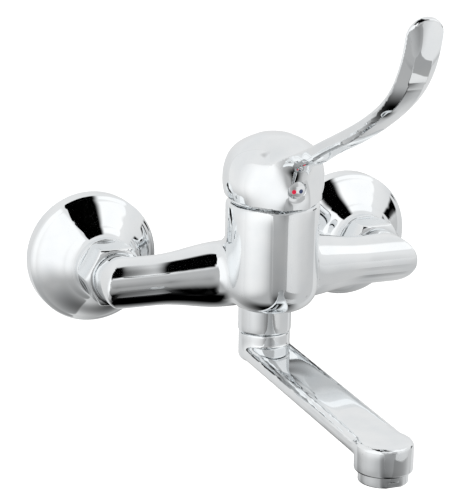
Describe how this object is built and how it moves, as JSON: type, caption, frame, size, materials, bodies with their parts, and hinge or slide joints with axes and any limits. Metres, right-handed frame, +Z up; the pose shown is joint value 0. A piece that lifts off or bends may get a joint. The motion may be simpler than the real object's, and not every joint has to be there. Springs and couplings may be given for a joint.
{
  "type": "elbow lever tap",
  "caption": "Wall tap with two inlet arms on flanged unions, a domed cartridge body with a long upswept elbow lever, and a flat swivelling spout below.",
  "frame": {"origin": "in the plane of the wall, midway between the axes of the two inlets", "axes": "+Z up; the wall is the plane y = 0 and the tap stands out along -Y; +X is to the right for a user who faces the wall"},
  "size_m": [0.22, 0.2541, 0.2236],
  "materials": {
    "chrome_plate": "polished chrome plate",
    "plain_brass": "machined",
    "black_rubber": "moulded",
    "white_plastic": "moulded",
    "ceramic": "lapped",
    "plain_steel": "turned"
  },
  "bodies": {
    "fixed": {"left_flange": "chrome_plate", "right_flange": "chrome_plate", "left_union_nut": "chrome_plate", "right_union_nut": "chrome_plate", "body_casting": "chrome_plate", "spout_nut": "chrome_plate", "cover_ring": "chrome_plate", "left_union": "plain_brass", "right_union": "plain_brass", "left_tail_bush": "plain_brass", "right_tail_bush": "plain_brass", "cartridge_nut": "plain_brass", "left_union_washer": "black_rubber", "right_union_washer": "black_rubber", "cartridge_base_seals": "black_rubber", "cartridge_base": "white_plastic", "cartridge_housing": "white_plastic", "fixed_ceramic_disc": "ceramic"},
    "swing": {"cartridge_rotor": "white_plastic", "stem_pin": "plain_steel"},
    "lever": {"lever_stem": "plain_brass", "lever_handle": "chrome_plate", "grub_screw": "plain_steel", "index_button": "chrome_plate"},
    "disc": {"moving_ceramic_disc": "ceramic", "disc_carrier": "white_plastic"},
    "spout_arm": {"spout": "chrome_plate", "spout_slide_ring": "white_plastic", "spout_seals": "black_rubber", "aerator_housing": "chrome_plate", "aerator_insert": "white_plastic", "aerator_washer": "black_rubber"}
  },
  "joints": [
    {"name": "lever_swing", "type": "hinge", "parent": "fixed", "child": "swing", "pos_m": [0, -0.0745, 0.03], "axis": [0, 0, 1], "range_deg": [-50, 50]},
    {"name": "lever_lift", "type": "hinge", "parent": "swing", "child": "lever", "pos_m": [0, -0.0745, 0.03], "axis": [-1, 0, 0], "range_deg": [0, 25]},
    {"name": "disc_slide", "type": "slide", "parent": "swing", "child": "disc", "axis": [0, -1, 0], "range_m": [0, 0.0026]},
    {"name": "spout_swivel", "type": "hinge", "parent": "fixed", "child": "spout_arm", "pos_m": [0, -0.067, -0.029], "axis": [0, 0, 1], "range_deg": [-90, 90]}
  ],
  "couplings": [
    {"joint": "disc_slide", "follows": "lever_lift", "m_per_rad": 0.00595}
  ]
}
